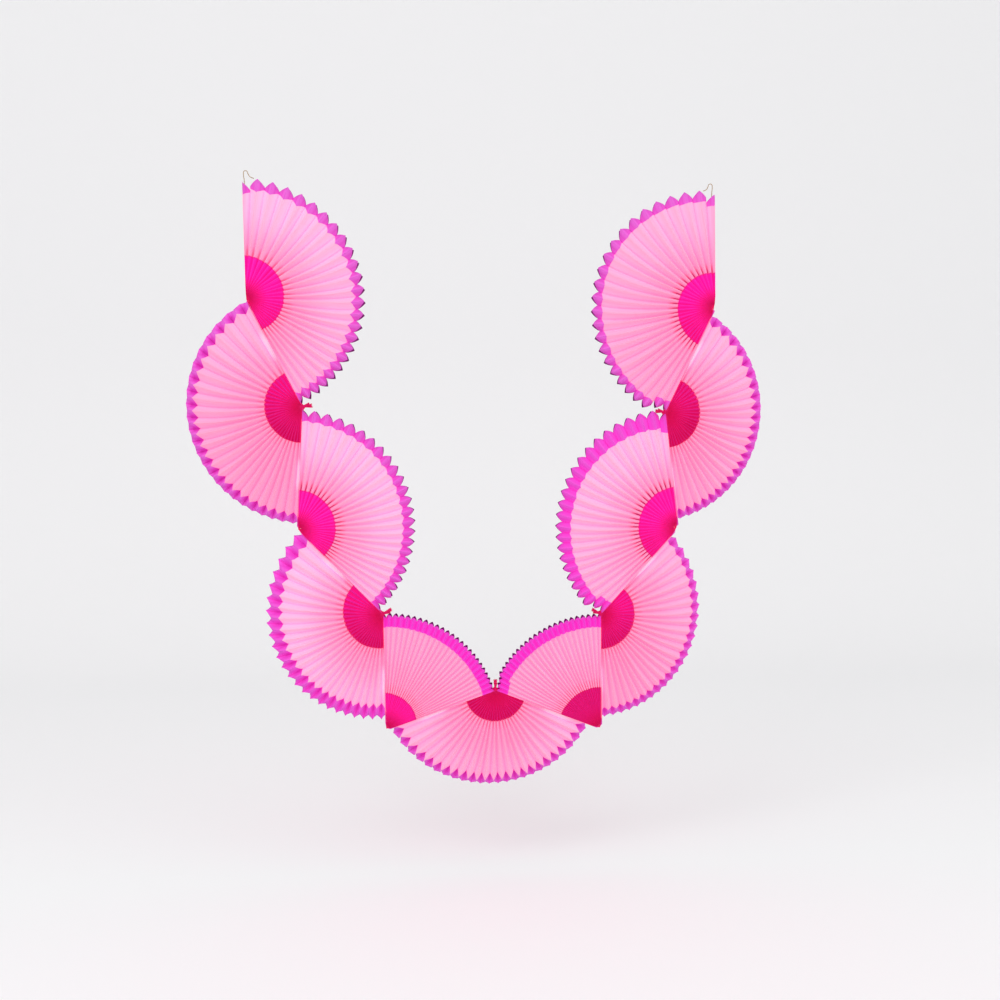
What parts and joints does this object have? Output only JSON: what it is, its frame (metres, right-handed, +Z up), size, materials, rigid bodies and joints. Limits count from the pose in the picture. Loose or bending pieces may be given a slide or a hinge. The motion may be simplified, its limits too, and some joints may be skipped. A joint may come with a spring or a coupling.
{
  "type": "paper honeycomb streamer",
  "caption": "Hanging party streamer of fringed tissue honeycomb fans that turn right and left along a swag, with a twine loop at each tip.",
  "frame": {"origin": "underside of the top of the left hanging loop, where a pin or hook carries it", "axes": "+X from the left tip towards the right tip, +Y through the depth to the back, +Z up"},
  "size_m": [0.8023, 0.026, 0.843],
  "materials": {
    "tissue": "matt tissue, hot pink at the hubs, pale pink, orchid rims",
    "twine": "matt twisted fibre"
  },
  "bodies": {
    "root": {"fan_01": "tissue", "fan_02": "tissue", "fan_03": "tissue", "fan_04": "tissue", "fan_05": "tissue", "fan_06": "tissue", "fan_07": "tissue", "fan_08": "tissue", "fan_09": "tissue", "fan_10": "tissue", "fan_11": "tissue", "left_hang_loop": "twine", "right_hang_loop": "twine"}
  },
  "joints": []
}
